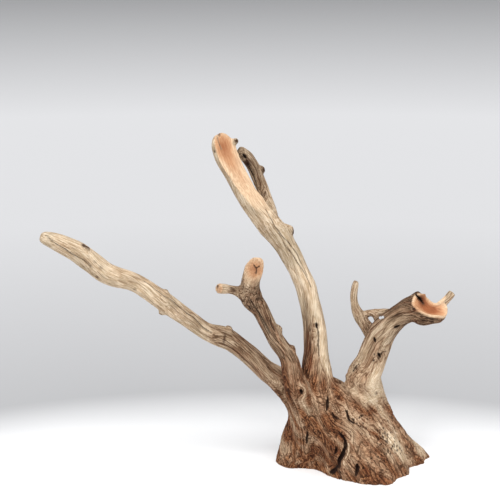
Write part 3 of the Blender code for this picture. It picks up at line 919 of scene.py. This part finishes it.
# Bare root wood, greyed and bleached by sun and sand: pale where it was rubbed, brown in the old stock, with
# some painted shade and painted light carried in its tone.
woodLook = {
    "paleWood": ((0.05, "#f0dcc0"), (0.4, "#d3b795"), (0.9, "#86664a")),
    "greyWood": ((0.08, "#ad8e72"), (0.42, "#7f634b"), (0.95, "#3a2a1f")),
    "warmWood": ((0.08, "#ae7e56"), (0.42, "#7b4d30"), (0.95, "#3a2113")),
    "cutWood": ((0.1, "#efd0ab"), (0.4, "#d09d74"), (0.85, "#9c5e3a")),
    "boldLine": ((0.0, 0.6), (0.1, 0.05), (0.4, 0.0), (0.62, 0.25), (0.78, 0.95), (0.9, 1.0), (1.0, 0.6)),
    "fineLine": ((0.0, 0.5), (0.2, 0.0), (0.55, 0.3), (0.8, 1.0), (1.0, 0.5)),
    "rustColour": "#8a4c2e",
    "mossColour": "#968f78",
    # Painted shade in pores too small to cut
    "poreColour": "#3a2113",
    "heartColour": "#9c5e3a",
    "knotColour": "#3b1f12",
    # Painted shade inside cracks and holes
    "crackColour": "#24120a",
    "footColour": "#a98a68",
    "footRings": "#7b4d30",
    "threadSize": (2.1, 26.0),
    "poreSize": (3.2, 9.0),
    "blotchScale": 1 / (30.0 * mm),
    "mossScale": 1 / (45.0 * mm),
    "gritScale": 1 / (1.3 * mm),
    "threadDark": 0.46,
    "blotchDark": 0.36,
    "bumpHeight": 1.5,
    "roughness": 0.74,
}

# Each step's name, what it does and what it takes. "*+" multiplies the first two and adds the third.
woodSteps = [
    # Fibres, which are fine noise drawn out along the limb, and cloudy patches
    ("fibres", "noise", "thread", 1.0, 4.0),
    ("wide", "noise", "thread", 0.45, 2.0),
    ("blotches", "noise", "place", "blotchScale", 3.0),
    ("moss", "noise", "place", "mossScale", 2.0),
    ("grit", "noise", "place", "gritScale", 2.0),
    ("threads", "range", "fibres", 0.41, 0.6),
    # Growth lines: a slow change from pale early wood to a dark late line, then a sharp step back
    ("wavy", "*+", "wide", 0.7, "ring"),
    ("wavy", "-", "wavy", 0.35),
    ("bold", "fraction", "wavy"),
    ("bold", "ramp", "bold", "boldLine"),
    ("fine", "*+", "fibres", 0.3, "wavy"),
    ("fine", "*", "fine", 2.0),
    ("fine", "fraction", "fine"),
    ("fine", "ramp", "fine", "fineLine"),
    ("boldShare", "*+", "tone", 0.32, 0.17),
    ("fineShare", "*+", "tone", 0.3, 0.13),
    ("dark", "*", "bold", "boldShare"),
    ("dark", "*+", "fine", "fineShare", "dark"),
    ("dark", "*+", "tone", 0.06, "dark"),
    ("dark", "*+", "threads", "threadDark", "dark"),
    ("dark", "*+", "blotches", "blotchDark", "dark"),
    ("dark", "range", "dark", 0.24, 1.24),
    # Pale, greyed and warm brown wood, with rusty and faintly green patches
    ("pale", "ramp", "dark", "paleWood"),
    ("greyed", "ramp", "dark", "greyWood"),
    ("warmed", "ramp", "dark", "warmWood"),
    ("brown", "+", "warm", "blotches"),
    ("brown", "-", "brown", 0.5),
    ("brown", "mix", "brown", "greyed", "warmed"),
    ("patchy", "*+", "blotches", 0.5, "tone"),
    ("patchy", "-", "patchy", 0.25),
    ("bare", "mix", "patchy", "pale", "brown"),
    ("rust", "range", "wide", 0.5, 0.68, 0.28),
    ("rust", "*", "rust", "tone"),
    ("bare", "mix", "rust", "bare", "rustColour"),
    ("bleached", "-", 1.0, "tone"),
    ("moss", "range", "moss", 0.46, 0.64, 0.28),
    ("moss", "*", "moss", "bleached"),
    ("bare", "mix", "moss", "bare", "mossColour"),
    # Pores too small to cut, drawn out along the fibres of the old wood, darkened as painted shade
    ("pore", "range", "poreOff", 0.3, 0.18),
    ("poreLuck", "above", "poreLuck", 0.66),
    ("pore", "*", "pore", "poreLuck"),
    ("old", "*+", "low", 0.8, 0.1),
    ("pore", "*", "pore", "old"),
    ("bare", "mix", "pore", "bare", "poreColour"),
    # Freshly cut faces: reddish heart, peach sapwood and a pale rim
    ("sawn", "*+", "wide", 7.0, "depth"),
    ("sawn", "range", "sawn", 3.5, 23.5),
    ("sawn", "ramp", "sawn", "cutWood"),
    ("streaky", "*", "threads", 0.38),
    ("sawn", "mix", "streaky", "sawn", "heartColour"),
    ("skin", "mix", "cut", "bare", "sawn"),
    ("stain", "+", "stain", "fibres"),
    ("stain", "range", "stain", 0.65, 1.4, 0.92),
    ("skin", "mix", "stain", "skin", "knotColour"),
    # Painted shade darkens the insides of cracks and holes
    ("skin", "mix", "crack", "skin", "crackColour"),
    # The sawn foot: rings round the stock, dulled by handling
    ("rings", "*", "rings", 0.5),
    ("foot", "mix", "rings", "footColour", "footRings"),
    ("skin", "mix", "under", "skin", "foot"),
    # Relief too fine for the mesh, and roughness. Both are less on cut faces
    ("height", "-", 1.0, "dark"),
    ("height", "*+", "grit", 0.15, "height"),
    ("height", "*+", "pore", -0.8, "height"),
    ("uncut", "*+", "cut", -0.75, 1.0),
    ("height", "*", "height", "uncut"),
    ("rough", "*+", "dark", 0.2, "roughness"),
    ("rough", "*+", "cut", -0.18, "rough"),
]
stepKinds = {
    "noise": ("ShaderNodeTexNoise", {"Roughness": 0.6}, ("Vector", "Scale", "Detail"), "Fac"),
    "range": ("ShaderNodeMapRange", {}, ("Value", "From Min", "From Max", "To Max"), 0),
    "ramp": ("ShaderNodeValToRGB", {}, (0, "stops"), 0),
    "mix": ("ShaderNodeMix", {"data_type": "RGBA"}, (0, 6, 7), 2),
}
operations = {"*": "MULTIPLY", "+": "ADD", "-": "SUBTRACT", "*+": "MULTIPLY_ADD", "fraction": "FRACT",
              "above": "GREATER_THAN"}
for name, operation in operations.items():
    stepKinds[name] = ("ShaderNodeMath", {"operation": operation}, (0, 1, 2), 0)


def weatheredWood():
    wood = bpy.data.materials.new("weatheredRootWood")
    wood.use_nodes = True
    tree = wood.node_tree
    tree.nodes.clear()
    made = {"place": addNode(tree, "ShaderNodeTexCoord").outputs["Object"]}
    for name in woodValues:
        made[name] = addNode(tree, "ShaderNodeAttribute", {"attribute_name": name}).outputs["Fac"]
    fibre = addNode(tree, "ShaderNodeAttribute", {"attribute_name": "fibre"}).outputs["Vector"]
    for name in ("thread", "pore"):
        across, along = woodLook[name + "Size"]
        scale = (1 / (across * mm), 1 / (across * mm), 1 / (along * mm))
        made[name] = addNode(tree, "ShaderNodeMapping", {"Scale": scale}, {"Vector": fibre}).outputs[0]
    pores = addNode(tree, "ShaderNodeTexVoronoi", {"Scale": 1.0}, {"Vector": made["pore"]})
    made["poreOff"] = pores.outputs["Distance"]
    made["poreLuck"] = addNode(tree, "ShaderNodeSeparateColor", {}, {0: pores.outputs["Color"]}).outputs[0]
    rings = {"wave_type": "RINGS", "rings_direction": "Z", "Scale": 22.0, "Distortion": 6.0, "Detail": 2.0}
    made["rings"] = addNode(tree, "ShaderNodeTexWave", rings, {"Vector": made["place"]}).outputs["Fac"]
    for name, kind, *inputs in woodSteps:
        node, settings, slots, output = stepKinds[kind]
        taken = dict(zip(slots, [woodLook.get(value, value) for value in inputs]))
        links = {slot: made[value] for slot, value in taken.items() if value in made}
        settings = settings | {slot: value for slot, value in taken.items() if slot not in links}
        made[name] = addNode(tree, node, settings, links).outputs[output]
    relief = {"Strength": 1.0, "Distance": woodLook["bumpHeight"] * mm}
    bump = addNode(tree, "ShaderNodeBump", relief, {"Height": made["height"]}).outputs[0]
    shader = addNode(
        tree,
        "ShaderNodeBsdfPrincipled",
        {"Metallic": 0.0, "IOR": 1.5, "Specular IOR Level": 0.18},
        {"Base Color": made["skin"], "Roughness": made["rough"], "Normal": bump},
    )
    addNode(tree, "ShaderNodeOutputMaterial", {}, {"Surface": shader.outputs[0]})
    return wood


root.data.materials.clear()
root.data.materials.append(weatheredWood())
root.data.shade_smooth()
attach(root, "root")
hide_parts("dry_root")
print("root finished")

# Studio: a floor painted with a pool of light round the root that greys out behind into painted shade, a soft
# key from the upper left and a weak fill.
studio = {
    "floorSize": 90.0,
    "lightPoolMiddle": (-0.15, -1.0, 0.0),
    "floorLightAndShadeStops": ((0.283, "#f6f6f6"), (0.315, "#b2b2b3"), (0.5, "#c9c9ca"), (0.66, "#cbcbcc"),
                   (0.9, "#8c8c8d")),
    "world": "#eef0f4",
    "worldStrength": 0.5,
    "keySide": (-0.2, -0.5, 0.85),
    "keyStrength": 2.7,
    "keySpread": 32.0,
    "fillSide": (0.7, -0.5, 0.6),
    "fillStrength": 0.9,
    "fillSpread": 50.0,
}


def paintedLightFloorMaterial():
    paint = bpy.data.materials.new("studioFloorWithPaintedLight")
    paint.use_nodes = True
    tree = paint.node_tree
    # The floor's colour paints light and shade: white in a pool of light round the root, a grey band of
    # painted shade just behind it, paler further off, darker far away.
    place = addNode(tree, "ShaderNodeTexCoord").outputs["Object"]
    away = addNode(
        tree, "ShaderNodeVectorMath", {"operation": "DISTANCE", 1: studio["lightPoolMiddle"]}, {0: place}
    ).outputs["Value"]
    further = addNode(tree, "ShaderNodeMath", {"operation": "ADD", 1: 3.0}, {0: away}).outputs[0]
    share = addNode(tree, "ShaderNodeMath", {"operation": "DIVIDE"}, {0: away, 1: further}).outputs[0]
    shade = addNode(tree, "ShaderNodeValToRGB", {"stops": studio["floorLightAndShadeStops"]}, {0: share}).outputs[0]
    shader = tree.nodes["Principled BSDF"]
    tree.links.new(shade, shader.inputs["Base Color"])
    shader.inputs["Roughness"].default_value = 0.9
    shader.inputs["Specular IOR Level"].default_value = 0.1
    return paint


def addSun(name, side, strength, spread):
    light = bpy.data.lights.new(name, "SUN")
    light.energy = strength
    light.angle = math.radians(spread)
    addObject(name, light).rotation_euler = (-Vector(side)).to_track_quat("-Z", "Y").to_euler()


def buildStudio():
    form = bmesh.new()
    bmesh.ops.create_grid(form, x_segments=2, y_segments=2, size=studio["floorSize"] / 2)
    mesh = bpy.data.meshes.new("studioFloor")
    form.to_mesh(mesh)
    form.free()
    floor = addObject("studioFloor", mesh)
    floor.data.materials.append(paintedLightFloorMaterial())
    addSun("softKey", studio["keySide"], studio["keyStrength"], studio["keySpread"])
    addSun("softFill", studio["fillSide"], studio["fillStrength"], studio["fillSpread"])
    world = bpy.data.worlds.new("studioAir")
    world.use_nodes = True
    world.node_tree.nodes["Background"].inputs["Color"].default_value = colour(studio["world"])
    world.node_tree.nodes["Background"].inputs["Strength"].default_value = studio["worldStrength"]
    bpy.context.scene.world = world


# The camera stands 2 m from the root and looks down on it by 14 degrees, as in the photo.
view = {"lens": 85.0, "aim": (-0.181, 0.0, 0.395), "distance": 2.0, "lookDown": 14.0}


def buildCamera():
    camera = bpy.data.cameras.new("photoCamera")
    camera.lens = view["lens"]
    camera.sensor_width = 36.0
    angle = math.radians(view["lookDown"])
    back = Vector((0, -math.cos(angle), math.sin(angle))) * view["distance"]
    stand = addObject("photoCamera", camera)
    stand.location = Vector(view["aim"]) + back
    stand.rotation_euler = (math.pi / 2 - angle, 0, 0)
    bpy.context.scene.camera = stand


buildStudio()
buildCamera()
bpy.context.scene.view_settings.view_transform = "Standard"
print("studio ready")
